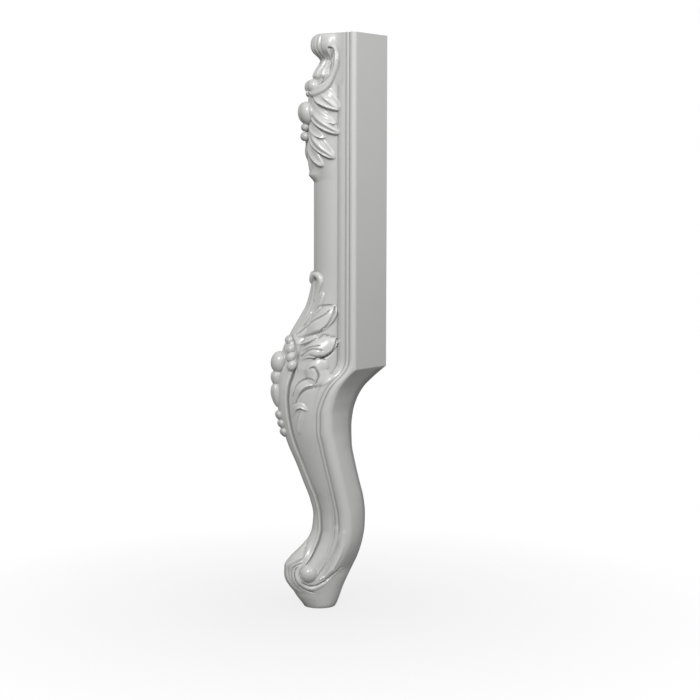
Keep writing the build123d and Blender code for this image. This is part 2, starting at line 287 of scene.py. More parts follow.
# %% Knee, sweep and foot
SKIRT_HEIGHT = 340.0
KNEE_RISE = 140.0
KNEE_TOP = SKIRT_HEIGHT + KNEE_RISE
RIDGE_WIDTH = 5.8
# Knee: share of its rise, front line, band edge, swell of the field.
KNEE = [
    (0.82, 47.6, 42.6, 3.0),
    (0.64, 53.0, 46.0, 3.5),
    (0.50, 63.0, 52.0, 4.5),
    (0.36, 76.0, 60.0, 6.0),
    (0.22, 87.5, 67.5, 8.0),
    (0.10, 94.0, 72.5, 9.5),
    (0.00, 97.5, 76.0, 10.5),
]
# Sweep: share of the skirt height, front line, band edge, side corner, back line,
# width of the corner round, swell of the back.
SWEEP = [
    (0.960, 99.0, (80.5, 17.5), (14.5, 55.5), -40.0, 9.6, 0.5),
    (0.915, 99.6, (85.0, 17.0), (25.5, 54.2), -24.5, 10.2, 1.5),
    (0.870, 99.0, (86.0, 16.2), (32.0, 52.6), -15.4, 10.8, 3.0),
    (0.815, 96.5, (84.3, 15.6), (36.5, 51.0), -9.4, 11.3, 4.5),
    (0.750, 90.8, (80.6, 14.8), (36.5, 49.6), -7.0, 11.5, 6.0),
    (0.680, 83.2, (73.5, 13.8), (32.0, 48.0), -7.6, 11.5, 7.0),
    (0.600, 71.6, (62.6, 13.0), (26.0, 46.2), -12.4, 11.5, 7.5),
    (0.520, 61.2, (52.0, 12.5), (19.5, 44.0), -18.8, 11.5, 7.5),
    (0.450, 52.2, (42.4, 12.0), (14.2, 42.0), -24.6, 11.5, 7.5),
    (0.385, 47.4, (37.8, 12.0), (10.0, 40.6), -26.9, 11.5, 7.5),
    (0.330, 49.0, (37.2, 12.6), (8.8, 39.8), -26.4, 11.5, 7.5),
    (0.285, 55.0, (40.4, 13.6), (10.2, 38.8), -24.2, 11.5, 7.5),
    (0.245, 66.0, (46.5, 15.2), (13.8, 37.2), -20.8, 11.5, 7.0),
    (0.205, 80.5, (54.5, 17.4), (18.8, 34.8), -16.0, 10.5, 6.0),
    (0.165, 90.0, (64.5, 19.4), (25.5, 32.0), -9.4, 9.5, 5.5),
]
# Foot: height, front line, back line, half width; and where its arcs meet, in degrees.
FOOT = [
    (42.0, 89.6, -2.4, 30.0),
    (27.0, 80.5, 4.4, 28.0),
    (13.5, 70.4, 9.6, 26.0),
    (3.0, 62.4, 14.4, 24.0),
    (0.0, 60.4, 16.4, 22.0),
]
FOOT_MARKS = [50.0, 84.0, 90.0, 97.0, 118.0, 180.0]
# The bead fades out on the way down: the share where it is gone, and the way it takes.
FADE_END = 0.8
FADE_SPAN = 0.2
# Width and rise of what is left of the bead, rise of the field, and how much is added to
# each at the skirt.
STEP_WIDTH = 4.0
STEP_RISE = 0.4
FIELD_RISE = 2.0
BEAD_WIDTH_GAIN = 10.0
BEAD_RISE_GAIN = 1.6
FIELD_RISE_GAIN = 2.0
# Rise of the corner round by its width, and inset and rise of the back by its swell.
ROUND_RISE = 0.4
BACK_INSET = 0.7
BACK_RISE = 0.5
BACK_LEAST = 0.2


def sweep_row(share, front, band, corner, back, width, swell):
    """Half section of the lower leg; the bead fades out just below the skirt."""
    fade = max(0.0, (share - FADE_END) / FADE_SPAN)
    ridge_start = width + RIDGE_WIDTH
    bead_start = ridge_start + STEP_WIDTH + BEAD_WIDTH_GAIN * fade
    points = (
        on_face(corner, band, bead_start, STEP_RISE - BEAD_DEPTH * fade),
        on_face(corner, band, ridge_start, -QUIRK_DEPTH),
        on_face(corner, band, width, -QUIRK_DEPTH),
        on_face(corner, (back, 0.0), width, -BACK_INSET * swell),
    )
    rises = [
        FIELD_RISE + FIELD_RISE_GAIN * fade,
        STEP_RISE + BEAD_RISE_GAIN * fade,
        RIDGE_RISE,
        ROUND_RISE * width,
        BACK_RISE * swell + BACK_LEAST,
    ]
    return row(front, band, *points, back, rises)


def foot_row(front, back, half_width):
    """Half section of the foot: an oval cut into as many arcs as the leg."""

    def rim(angle):
        turn = math.radians(angle)
        ahead = (front + back + (front - back) * math.cos(turn)) / 2
        return np.array((ahead, half_width * math.sin(turn)))

    ends = [rim(angle) for angle in FOOT_MARKS]
    rises = []
    for first, last in zip(FOOT_MARKS, FOOT_MARKS[1:]):
        middle = (rim(first) + rim(last)) / 2
        rises.append(np.linalg.norm(rim((first + last) / 2) - middle))
    return row(front, *ends[:5], back, rises)


upper = [(LEG_HEIGHT, column_row), (KNEE_TOP, column_row)]
for share, front, forward, swell in KNEE:
    upper.append((SKIRT_HEIGHT + share * KNEE_RISE, post_row(front, forward, swell)))
lower = [upper[-1]]
lower += [(numbers[0] * SKIRT_HEIGHT, sweep_row(*numbers)) for numbers in SWEEP]
lower += [(height, foot_row(*numbers)) for height, *numbers in FOOT]
print(len(upper), "sections above the skirt,", len(lower), "below")

# %% [markdown]
# ## Smooth lines and arcs
# Two rules turn the sections into a surface. One draws a smooth line through numbers that
# are known at a few places, as a draughtsman bends a spline past pins. The other draws an
# arc between two points. A curve object could do both, but sums on whole lists of points
# are quick and give the same result each time.


# %% Smooth lines and arcs
def between(at, places, values, ease=True):
    """Smooth line through values at rising places; with ease it never overshoots."""
    places = np.array(places, float)
    values = np.array(values, float)
    gap = np.diff(places)[:, None]
    slope = np.diff(values, axis=0) / gap
    lean = np.empty_like(values)
    lean[1:-1] = (slope[:-1] + slope[1:]) / 2
    if ease:
        both = slope[:-1] * slope[1:]
        total = np.where(both > 0, slope[:-1] + slope[1:], 1.0)
        lean[1:-1] = np.where(both > 0, 2 * both / total, 0.0)
    lean[0] = 1.5 * slope[0] - 0.5 * lean[1]
    lean[-1] = 1.5 * slope[-1] - 0.5 * lean[-2]
    left = np.clip(np.searchsorted(places, at, "right") - 1, 0, len(places) - 2)
    width = gap[left]
    share = (at - places[left])[:, None] / width
    square, cube = share**2, share**3
    start = (2 * cube - 3 * square + 1) * values[left]
    leave = (cube - 2 * square + share) * width * lean[left]
    end = (3 * square - 2 * cube) * values[left + 1]
    arrive = (cube - square) * width * lean[left + 1]
    return start + leave + end + arrive


def arc(start, end, rise, share):
    """Points at the given shares along arcs that swell out by the rise."""
    run = end - start
    half = np.linalg.norm(run, axis=1) / 2
    rise = np.where(np.abs(rise) < FLAT_RISE, FLAT_RISE, rise)
    turn = 2 * np.arctan(rise / half)
    radius = half / np.sin(turn)
    angle = np.outer(turn, 2 * share - 1)
    forward = run / (2 * half)[:, None]
    out = np.stack([forward[:, 1], -forward[:, 0]], axis=1)
    along = radius[:, None] * np.sin(angle)
    up = radius[:, None] * (np.cos(angle) - np.cos(turn)[:, None])
    middle = (start + end)[:, None, :] / 2
    return middle + along[:, :, None] * forward[:, None, :] + up[:, :, None] * out[:, None, :]


print("rules for smooth lines and arcs ready")

# %% [markdown]
# ## The skin
# The skin of the bare leg is a grid of points. A subdivided cage would be lighter, but it
# has no small points where a leaf needs them. So the rows lie close together where there
# is carving and far apart where the wood is plain, and each column of points keeps to one
# arc of the sections. Only one half is made, because the other is its mirror image.

# %% Skin
# Heights of the rows of points: from, to, step.
ROWS = [
    (0, 22, 2.2),
    (22, 82, 1.15),
    (82, 112, 1.6),
    (112, 228, 4.5),
    (228, SKIRT_HEIGHT, 1.25),
    (SKIRT_HEIGHT, KNEE_TOP, 1.25),
    (KNEE_TOP, 588, 10.8),
    (588, LEG_HEIGHT, 1.25),
]
# Columns of points on the first five arcs, and shares of the last one, the flat back.
COLUMNS = [22, 48, 9, 8, 8]
BACK_SHARES = (0.0, 0.02, 0.08, 0.3, 0.65, 1.0)
BAND_EDGE = COLUMNS[0]
COLUMN_EDGE = sum(COLUMNS[:2])
CORNER = sum(COLUMNS[:4])
BACK_EDGE = sum(COLUMNS)


def half_skin(numbers):
    """Points of one half of the skin, from the front line round to the back."""
    # A section's row holds the front, five points, the back and five rises.
    front, back = numbers[:, 0], numbers[:, 11]
    points = [numbers[:, 1 + 2 * k : 3 + 2 * k] for k in range(5)]
    points.append(np.stack([back, 0 * back], axis=1))
    rises = numbers[:, 12:]
    mirrored = points[0] * (1, -1)
    front_shares = np.linspace(0.5, 1.0, COLUMNS[0] + 1)[:-1]
    strips = [arc(mirrored, points[0], front - points[0][:, 0], front_shares)]
    shares = [np.linspace(0.0, 1.0, count + 1)[:-1] for count in COLUMNS[1:]]
    shares.append(np.array(BACK_SHARES))
    for k in range(5):
        strips.append(arc(points[k], points[k + 1], rises[:, k], shares[k]))
    return np.concatenate(strips, axis=1)


heights = []
for low, high, step in ROWS:
    heights.extend(np.linspace(low, high, round((high - low) / step) + 1)[:-1])
heights = np.append(heights, LEG_HEIGHT)
above = heights >= SKIRT_HEIGHT
section_rows = np.empty((len(heights), len(column_row)))
for chosen, table in ((above, upper), (~above, lower)):
    table = sorted(table, key=lambda section: section[0])
    known = [height for height, _ in table]
    section_rows[chosen] = between(heights[chosen], known, [numbers for _, numbers in table])
half = half_skin(section_rows)
x, y = half[:, :, 0], half[:, :, 1]
z = np.repeat(heights[:, None], x.shape[1], axis=1)
column = np.arange(x.shape[1])[None, :]
print("half skin:", x.shape[0], "rows of", x.shape[1], "points")

# %% [markdown]
# ## Where the carving lies
# A carver draws the leaves on the bare leg before cutting. Here a place on the leg is an
# angle from the front line and a height, as on a map. The angle is measured round a heart
# line that moves forward with the knee, so that the map is not pulled out of shape there.

# %% Places on the skin
KNEE_HEART = 45.0
HEART_HEIGHTS = [0.0, SKIRT_HEIGHT, KNEE_TOP, LEG_HEIGHT]
HEART_FORWARD = [KNEE_HEART, KNEE_HEART, column_middle, column_middle]
heart = np.interp(z, HEART_HEIGHTS, HEART_FORWARD)


def polar(x, y):
    """Angle from the front in degrees, and distance from the heart line."""
    return np.degrees(np.arctan2(y, x - heart)), np.hypot(x - heart, y)


def soft(low, high, at):
    """Rises smoothly from 0 at low to 1 at high."""
    share = np.clip((at - low) / (high - low), 0.0, 1.0)
    return share * share * (3 - 2 * share)


def stretch(start, full, fade, end, at):
    """1 on a stretch, with soft ends before and after it."""
    return soft(start, full, at) * (1 - soft(fade, end, at))


angle, radius = polar(x, y)
print("angles on the skin run to", round(float(angle.max()), 1), "degrees")

# %% [markdown]
# ## The swelling at the top
# Under the top scroll the column swells forward to carry the leaves. A soft sculpting brush
# could pull it out. Here each level has an arc through the two sides of the column and one
# point on the front line, so the swelling stays round and its outline is a short list.

# %% Swelling
CREST_ANGLE = 76.0
# Drop from the top, and the front line there.
CREST = [
    (40.0, 38.0),
    (52.0, 44.5),
    (68.0, 48.0),
    (86.0, 54.0),
    (106.0, 55.0),
    (128.0, 55.0),
    (152.0, 54.0),
    (178.0, 50.0),
    (208.0, 44.5),
]
drop = LEG_HEIGHT - z
turn = np.radians(angle)
side_x = column_middle + COLUMN_RADIUS * math.cos(math.radians(CREST_ANGLE))
side_y = COLUMN_RADIUS * math.sin(math.radians(CREST_ANGLE))
crest_drop, crest_front = zip(*CREST)
front = np.interp(drop, crest_drop, crest_front)
crest_middle = (side_x**2 + side_y**2 - front**2) / (2 * (side_x - front))
crest_radius = front - crest_middle
offset = column_middle - crest_middle
ahead_of = offset * np.cos(turn)
crest = np.sqrt(np.maximum(ahead_of**2 - offset**2 + crest_radius**2, 0)) - ahead_of
on_crest = (angle < CREST_ANGLE) & (drop > crest_drop[0]) & (drop < crest_drop[-1])
top_radius = np.where(on_crest, np.maximum(radius, crest), radius)
print("column swells forward to", max(crest_front), "mm")

# %% [markdown]
# ## The hollow and the scroll
# At the very top a scroll rolls over the front, with flutes round its barrel, and a hollow
# is cut under the roll. They could be a turned roll laid on the post and a cut made with a
# second body. Both are only changes of the column's radius, so they are written as radii.

# %% Hollow and scroll
# Lines: drop from the top, and the front line there. Spans are drops with soft ends, and
# sides are the angles between which a form fades out.
HOLLOW_LINE = [(24.0, 36.0), (33.0, 36.0), (43.0, 38.0), (51.0, 43.0), (58.0, 47.0)]
HOLLOW_SPAN = (18.0, 24.0, 56.0, 62.0)
HOLLOW_SIDE = (58.0, 64.0)
SCROLL_LINE = [
    (0.0, 42.5),
    (2.0, 46.0),
    (5.0, 48.8),
    (10.0, 50.4),
    (15.0, 51.0),
    (20.0, 50.2),
    (24.0, 48.0),
    (28.0, 44.0),
    (32.0, 39.5),
    (35.0, 37.0),
]
SCROLL_SIDE = (54.0, 82.0)
SCROLL_MIDDLE = 20.0
FLUTE_ANGLES = (12.0, 25.0, 37.0)
FLUTE_WIDTH = 2.8
FLUTE_DEPTH = 2.2
FLUTE_START = (1.0, 6.0)
hollow_drop, hollow_front = zip(*HOLLOW_LINE)
hollow_radius = np.interp(drop, hollow_drop, hollow_front) - column_middle
in_hollow = stretch(*HOLLOW_SPAN, drop) * (1 - soft(*HOLLOW_SIDE, angle))
top_radius = top_radius + in_hollow * np.minimum(hollow_radius - top_radius, 0.0)
scroll_drop, scroll_front = zip(*SCROLL_LINE)
scroll = between(drop.ravel(), scroll_drop, np.array(scroll_front)[:, None])
scroll = scroll.reshape(drop.shape) - column_middle
flute = sum(np.exp(-(((angle - at) / FLUTE_WIDTH) ** 2)) for at in FLUTE_ANGLES)
scroll = scroll - FLUTE_DEPTH * flute * soft(*FLUTE_START, drop)
barrel = np.where(drop < SCROLL_MIDDLE, scroll, np.maximum(scroll, top_radius))
on_scroll = (1 - soft(*SCROLL_SIDE, angle)) * (drop <= scroll_drop[-1])
top_radius = top_radius + on_scroll * (barrel - top_radius)
at_top = z > KNEE_TOP
x = np.where(at_top, column_middle + top_radius * np.cos(turn), x)
y = np.where(at_top, top_radius * np.sin(turn), y)
angle, radius = polar(x, y)
print("scroll reaches forward to", round(float(x[drop < scroll_drop[-1]].max()), 1), "mm")

# %% [markdown]
# ## Along a spine
# Leaves, ribbons and cuts all follow a curved spine that is drawn on the skin. A curve
# object with a bevel would lie on the skin like a wire. Instead each point of the skin is
# asked how far along the spine it lies and how far across it, so that any form can be
# raised or cut from the skin itself.

# %% Along a spine
# Steps along a spine, and how many half widths round it are looked at.
SPINE_STEPS = 63
MARGIN = 1.2
# Half widths that stand for a point off the piece, and the least half width in millimetres.
OUTSIDE = 9.0
THINNEST = 1e-3


def nearest_point(turn_out, height):
    """Number of the point of the skin nearest to an angle and a height."""
    return np.argmin((angle - turn_out) ** 2 + (z - height) ** 2)


def lay_along(spine, half_width, outline):
    """Share along a spine and half widths across it, for every point of the skin."""
    knots = np.array(spine, float)
    scale = math.radians(1.0) * radius.flat[nearest_point(*knots[len(knots) // 2])]
    knots = knots * (scale, 1.0)
    stations = np.linspace(0, len(knots) - 1, SPINE_STEPS + 1)
    path = between(stations, range(len(knots)), knots, ease=False)
    step = np.gradient(path, axis=0)
    low = path.min(axis=0) - MARGIN * half_width
    high = path.max(axis=0) + MARGIN * half_width
    way_round = angle * scale
    near = (way_round > low[0]) & (way_round < high[0]) & (z > low[1]) & (z < high[1])
    point = np.stack([way_round[near], z[near]], axis=1)
    station = np.argmin(((point[:, None, :] - path[None, :, :]) ** 2).sum(axis=2), axis=1)
    off = point - path[station]
    run = step[station]
    length = np.linalg.norm(run, axis=1)
    past = (off * run).sum(axis=1) / length**2
    share = np.clip((station + past) / SPINE_STEPS, 0.0, 1.0)
    out = (run[:, 0] * off[:, 1] - run[:, 1] * off[:, 0]) / length
    width = np.maximum(half_width * outline(share), THINNEST)
    along = np.zeros(angle.shape)
    across = np.full(angle.shape, OUTSIDE)
    along[near] = share
    across[near] = np.where(np.abs(past) > 1.0, OUTSIDE, out / width)
    return along, across


print("a spine is followed in", SPINE_STEPS, "steps")

# %% [markdown]
# ## The rule for a leaf
# An acanthus leaf is a shingle across its spine: it climbs gently from its upper edge, has
# fluted veins, and drops steeply at its lower edge, where the dark line of the carving lies.
# It could be modelled once and bent to its place. As a height over the skin it needs no
# bending, and where leaves overlap the higher one wins, as in real carving.

# %% Leaf rule
# Shares of the half width, of the height and of the length of a leaf.
LEAF_CROWN = -0.45
VEIN_DEPTH = 0.4
ROOT_HEIGHT = 0.15
VEIN_START = (0.02, 0.2)
VEIN_END = (0.8, 1.0)
# A height below this, in millimetres, is no leaf any more.
FAINT = 0.01


def leaf_outline(share):
    """Half width along a leaf, fullest a little before its middle."""
    return 1.72 * share**0.42 * (1 - share) ** 0.5


def blade_outline(share):
    """Half width along a blade, narrow at its foot and fullest past its middle."""
    return 2.58 * share**0.9 * (1 - share) ** 0.55


def leaf(spine, half_width, height, flutes, crown=LEAF_CROWN, outline=leaf_outline):
    """Height of a fluted leaf over the skin; its highest line lies at the crown."""
    along, across = lay_along(spine, half_width, outline)
    gentle = 1 - (np.clip(across - crown, 0, None) / (1 - crown)) ** 2
    steep = 1 - (np.clip(crown - across, 0, None) / (1 + crown)) ** 5
    vein = (0.5 - 0.5 * np.cos(math.pi * flutes * (across + 1))) ** 1.5
    vein = VEIN_DEPTH * vein * soft(*VEIN_START, along) * (1 - soft(*VEIN_END, along))
    body = np.minimum(gentle, steep) - vein
    # A leaf is low at its root, full from its middle on, and drops at its tip.
    rise = (ROOT_HEIGHT + (1 - ROOT_HEIGHT) * soft(0.0, 0.5, along)) * (1 - along**12)
    return np.where(np.abs(across) < 1, height * rise * np.clip(body, 0, None), 0.0)


def over(below, piece):
    """The higher of two carvings, where the piece stands up at all."""
    return np.where(piece > FAINT, np.maximum(below, piece), below)


print("rule for a leaf ready")

# %% [markdown]
# ## Ribbons, ropes, cuts and lobes
# Between the leaves a carver uses four simpler strokes: a flat ribbon, a round rope, a cut
# with a round gouge, and a smooth lobe. Each could be a swept profile. Here each is one line
# of height across a spine or a point, and the same rule for spines serves them all.

# %% Ribbon, rope, groove and dome
RIBBON_SINK = (0.62, 0.95)


def ribbon_outline(share):
    """Half width along a ribbon, drawn in at its foot."""
    return 0.55 + 0.45 * soft(0.0, 0.12, share)


def ribbon(spine, half_width, height):
    """Height of a flat band with steep sides, which sinks into the skin at its far end."""
    along, across = lay_along(spine, half_width, ribbon_outline)
    wall = 1 - np.clip(np.abs(across), 0, 1) ** 8
    sink = 1 - soft(*RIBBON_SINK, along)
    return np.where(np.abs(across) < 1, height * wall * sink, 0.0)


def rope_outline(share):
    """Half width along a rope, rounded off at its far end."""
    return np.sqrt(np.clip(1 - share**6, 0.0, 1.0))


def rope(spine, half_width, height, taper):
    """Height of a round rope, which sinks along its way by the taper."""
    along, across = lay_along(spine, half_width, rope_outline)
    bulge = np.sqrt(np.clip(1 - across**2, 0.0, 1.0)) * (1 - taper * along)
    return np.where(np.abs(across) < 1, height * bulge, 0.0)


def groove_outline(share):
    """Half width along a cut, pointed at both ends."""
    return np.sin(math.pi * np.clip(share, 0.02, 0.98)) ** 0.4


def groove(spine, half_width, depth):
    """Depth of a rounded cut along a spine."""
    along, across = lay_along(spine, half_width, groove_outline)
    return np.where(np.abs(across) < 1, depth * (1 - across**2) ** 2, 0.0)


def dome(middle, half_width, half_height, height):
    """Height of a smooth round lobe."""
    across = np.radians(angle - middle[0]) * radius.flat[nearest_point(*middle)] / half_width
    rise = (z - middle[1]) / half_height
    return height * np.sqrt(np.clip(1 - across**2 - rise**2, 0.0, 1.0))


print("rules for ribbon, rope, groove and dome ready")

# %% [markdown]
# ## The leaves at the top
# Leaves fan out to both sides under the scroll, small ones hang in the hollow, and a
# C-shaped ribbon with a dished face frames them. A small ledge ends the bunch below. They
# could be pulled out with a sculpting brush. Here each leaf is one row of a list, drawn from
# the heart of the bunch outwards, and the list is short enough to be changed by hand.

# %% Top leaves
# Spine as angles and drops from the top, half width, height, flutes.
TOP_LEAVES = [
    ([(36, 76), (60, 87), (80, 104)], 9.5, 6.0, 1),
    ([(22, 80), (46, 92), (80, 104)], 8.0, 7.0, 1),
    ([(17, 94), (40, 110), (74, 123)], 8.0, 6.0, 1),
    ([(16, 98), (44, 119), (80, 136)], 11.0, 8.0, 2),
    ([(18, 116), (28, 131), (52, 142)], 7.5, 6.0, 1),
    ([(15, 122), (34, 147), (71, 170)], 11.0, 7.5, 2),
    ([(11, 138), (22, 160), (46, 181)], 9.0, 7.0, 1),
    ([(4, 150), (9, 172), (15, 194)], 7.5, 4.5, 1),
]
INNER_LEAVES = [
    ([(54, 26), (53, 42), (42, 62)], 5.0, 5.5, 1),
    ([(40, 29), (37, 44), (26, 62)], 5.0, 5.5, 1),
    ([(22, 32), (18, 46), (12, 60)], 5.0, 3.0, 1),
]
# Spines of the ribbon and of the dish in its face; half width and height or depth.
C_BAND = [(10, 79), (28, 79), (46, 72), (58, 59), (64, 45), (65, 33), (61, 22), (54, 16)]
C_BAND_SIZE = (7.0, 5.5)
C_DISH = [(56, 21), (62, 23), (64, 34), (61, 48), (50, 62), (32, 71)]
C_DISH_SIZE = (5.0, 4.5)
# Ledge: drop from the top, and rise; and the angles between which it fades out.
LEDGE = [(172, 0.0), (183, 2.2), (189, 5.0), (191.5, 6.2), (195, 4.4), (202, 0.0)]
LEDGE_SIDE = (6.0, 36.0)
# Heights between which the carving beside the column fades out, below the flat top.
TOP_FADE = (734.0, 744.0)


def from_top(spine):
    """Spine with drops from the top made heights."""
    return [(turn_out, LEG_HEIGHT - fall) for turn_out, fall in spine]


carved = np.zeros_like(z)
for spine, half_width, height, flutes in TOP_LEAVES + INNER_LEAVES:
    carved = over(carved, leaf(from_top(spine), half_width, height, flutes))
ledge_drop, ledge_rise = zip(*LEDGE)
ledge = np.interp(drop, ledge_drop, ledge_rise) * (1 - soft(*LEDGE_SIDE, angle))
carved = over(carved, ledge)
carved = over(carved, ribbon(from_top(C_BAND), *C_BAND_SIZE))
carved = carved - groove(from_top(C_DISH), *C_DISH_SIZE)
# Near the flat top no carving crosses the groove beside the column.
past_column = soft(COLUMN_EDGE - 3, COLUMN_EDGE + 5, column)
carved = carved * (1 - past_column * soft(*TOP_FADE, z))
print("top carving stands out by", round(float(carved.max()), 1), "mm")

# %% [markdown]
# ## The leaves on the knee
# A stem with a curled tip climbs the front of the knee. Two broad blades and a bunch of
# small leaves spread from it to the sides, with a round lobe and fine cuts between them.
# The blades come first and the small leaves over them, as a carver works from the large
# forms to the small. The cuts come last, because they cross everything.

# %% Knee leaves
# Spine as angles and heights over the skirt, half width, height, flutes.
KNEE_BLADES = [
    ([(18, 44), (46, 58), (70, 69), (92, 88)], 15.0, 6.0, 0),
    ([(30, 19), (60, 29), (88, 32), (111, 44)], 14.5, 6.0, 0),
]
KNEE_LEAVES = [
    ([(14, 60), (36, 84), (52, 107)], 11.0, 3.0, 1),
    ([(10, 52), (20, 64), (31, 81)], 5.0, 4.0, 1),
    ([(24, 35), (46, 40), (64, 45)], 6.0, 5.5, 1),
    ([(36, 13), (60, 21), (88, 16)], 6.5, 3.8, 2),
    ([(34, -48), (43, -30), (58, -21), (82, -20)], 6.5, 3.6, 1),
    ([(27, -67), (38, -54), (52, -51), (65, -58)], 5.0, 3.4, 1),
    ([(60, -56), (49, -72), (42, -92)], 4.5, 2.5, 1),
]
# Lobe: middle, half width, half height, height.
C_LOBE = ((86, -4), 17.0, 19.0, 3.8)
# Stem: spine, half width, height, flutes, crown. Curl: spine, half width, height, taper.
STEM = ([(0, 20), (0, 74), (0, 128)], 17.0, 3.6, 2, 0.0)
CURL_SPINE = [(-8, 117), (2, 123), (15, 129), (30, 128), (39, 120), (35, 110), (31, 101), (32, 93)]
CURL = (CURL_SPINE, 4.6, 6.8, 0.7)
# Cuts: spine, half width, depth.
KNEE_CUTS = [
    ([(68, -1), (72, 2), (79, 2), (85, -2), (87, -8), (85, -14), (82, -20)], 2.4, 3.5),
    ([(70, 13), (84, 17), (97, 13)], 2.2, 2.5),
    ([(33, -39), (39, -24), (48, -17), (64, -13), (79, -16)], 1.8, 2.4),
    ([(38, -49), (49, -35), (64, -28), (82, -25)], 1.7, 2.0),
    ([(8, 45), (20, 35), (27, 23), (32, 10), (36, -3)], 2.4, 3.0),
    ([(4, 26), (13, 17), (15, 8), (11, -3), (7, -13), (6, -26)], 2.2, 3.0),
    ([(91, 86), (92.5, 76), (90, 67), (85, 60), (74, 54)], 3.0, 3.6),
    ([(111, 42), (110, 31), (106, 24), (98, 19), (87, 15)], 3.0, 3.6),
    ([(88, 88), (68, 88), (51, 85), (40, 78)], 2.4, 2.0),
    ([(107, 45), (96, 45), (81, 47), (70, 41)], 2.4, 2.0),
    ([(82, 81), (69, 73), (48, 66), (33, 59), (19, 47)], 2.0, 2.4),
    ([(80, 33), (68, 31), (55, 29), (40, 24)], 1.8, 2.2),
    ([(87, 26), (69, 27.5), (54, 24), (37, 15)], 1.8, 2.2),
]


def from_skirt(spine):
    """Spine with heights over the skirt made heights over the floor."""
    return [(turn_out, SKIRT_HEIGHT + rise) for turn_out, rise in spine]


for spine, *sizes in KNEE_BLADES:
    carved = over(carved, leaf(from_skirt(spine), *sizes, outline=blade_outline))
for spine, *sizes in KNEE_LEAVES:
    carved = over(carved, leaf(from_skirt(spine), *sizes))
lobe_middle, *lobe_sizes = C_LOBE
carved = over(carved, dome(from_skirt([lobe_middle])[0], *lobe_sizes))
stem_spine, *stem_sizes = STEM
carved = over(carved, leaf(from_skirt(stem_spine), *stem_sizes))
curl_spine, *curl_sizes = CURL
carved = over(carved, rope(from_skirt(curl_spine), *curl_sizes))
for spine, *sizes in KNEE_CUTS:
    carved = carved - groove(from_skirt(spine), *sizes)
print("leaves on the knee:", len(KNEE_BLADES) + len(KNEE_LEAVES))

# %% [markdown]
# ## The band down the front
# A raised band runs down the front of the leg. A small rounded rim and a cut beside it mark
# its edge. A scratch stock cuts both in one pass along the edge. Here they follow the line
# where the front arc meets the field, as heights by the distance from that line.

# %% Band edge
EDGE_SPAN = (54.0, 76.0, 330.0, 350.0)
# The rim grows towards the foot, and the cut grows towards the knee.
RIM_HEIGHT = 1.0
RIM_GAIN = 1.2
RIM_FADE = (120.0, 220.0)
RIM_INSIDE = 3.4
RIM_WIDTH = 1.8
CUT_DEPTH = 2.0
CUT_GAIN = 2.0
CUT_GROWTH = (180.0, 250.0)
CUT_WIDTH = 1.45
# Where a leaf stands higher than this, it covers the edge.
BARE = 1.5
step_x = np.diff(x, axis=1, prepend=x[:, :1])
step_y = np.diff(y, axis=1, prepend=y[:, :1])
from_front = np.cumsum(np.hypot(step_x, step_y), axis=1)
from_edge = from_front - from_front[:, BAND_EDGE : BAND_EDGE + 1]
rim_height = RIM_HEIGHT + RIM_GAIN * (1 - soft(*RIM_FADE, z))
cut_depth = CUT_DEPTH + CUT_GAIN * soft(*CUT_GROWTH, z)
rim = rim_height * np.exp(-(((from_edge + RIM_INSIDE) / RIM_WIDTH) ** 2))
cut = cut_depth * np.exp(-((from_edge / CUT_WIDTH) ** 2))
carved = carved + stretch(*EDGE_SPAN, z) * (rim - cut) * (carved < BARE)
print("band edge from", EDGE_SPAN[0], "to", EDGE_SPAN[-1], "mm")

# %% [markdown]
# ## Softened creases
# The mouldings meet in sharp creases. On the real leg these die out on the round toe, at
# the skirt, and beside the scroll at the top, where a carver sands them away. Blender's
# Smooth modifier could do it. Here each point moves towards the mean of its neighbours, by
# a share that falls from 1 in those three places to 0 elsewhere.

# %% Softened creases
MIRROR = (1, -1, 1)
TOE_SPAN = (14.0, 26.0, 52.0, 64.0)
TOE_SIDE_SPAN = (14.0, 26.0, 70.0, 130.0)
SKIRT_SPAN = (318.0, 334.0, 346.0, 362.0)
TOP_SPAN = (724.0, 738.0)


def blurred(field, rows, columns):
    """Mean over neighbouring rows and columns; beyond the half skin lies its mirror image."""
    before = field[:, columns:0:-1] * MIRROR
    after = field[:, -2 : -columns - 2 : -1] * MIRROR
    field = np.concatenate([before, field, after], axis=1)
    field = np.pad(field, ((rows, rows), (0, 0), (0, 0)), "edge")
    for axis, reach in ((0, rows), (1, columns)):
        windows = np.lib.stride_tricks.sliding_window_view(field, 2 * reach + 1, axis)
        field = windows.mean(axis=-1)
    return field


# Places round the leg are counted in columns of points, from the column's edge or the corner.
before_corner = 1 - soft(CORNER - 7, CORNER + 5, column)
side_share = stretch(*TOE_SIDE_SPAN, z) * soft(COLUMN_EDGE - 10, COLUMN_EDGE - 2, column)
toe_share = np.maximum(stretch(*TOE_SPAN, z) * before_corner, side_share * before_corner)
skirt_share = stretch(*SKIRT_SPAN, z) * soft(COLUMN_EDGE - 26, COLUMN_EDGE - 10, column)
skirt_share = skirt_share * (1 - soft(CORNER + 3, CORNER + 8, column))
top_share = soft(*TOP_SPAN, z) * soft(COLUMN_EDGE - 12, COLUMN_EDGE - 4, column)
top_share = top_share * (1 - soft(COLUMN_EDGE + 4, COLUMN_EDGE + 9, column))
# Share, passes, and how many rows and columns of neighbours count.
SOFTENED = [(toe_share, 4, 3, 3), (skirt_share, 3, 6, 0), (top_share, 4, 1, 5)]
for share, passes, row_reach, column_reach in SOFTENED:
    for _ in range(passes):
        smooth = blurred(np.stack([x, y, z], axis=2), row_reach, column_reach)
        x = x + share * (smooth[:, :, 0] - x)
        y = y + share * (smooth[:, :, 1] - y)
print("softened places:", len(SOFTENED))

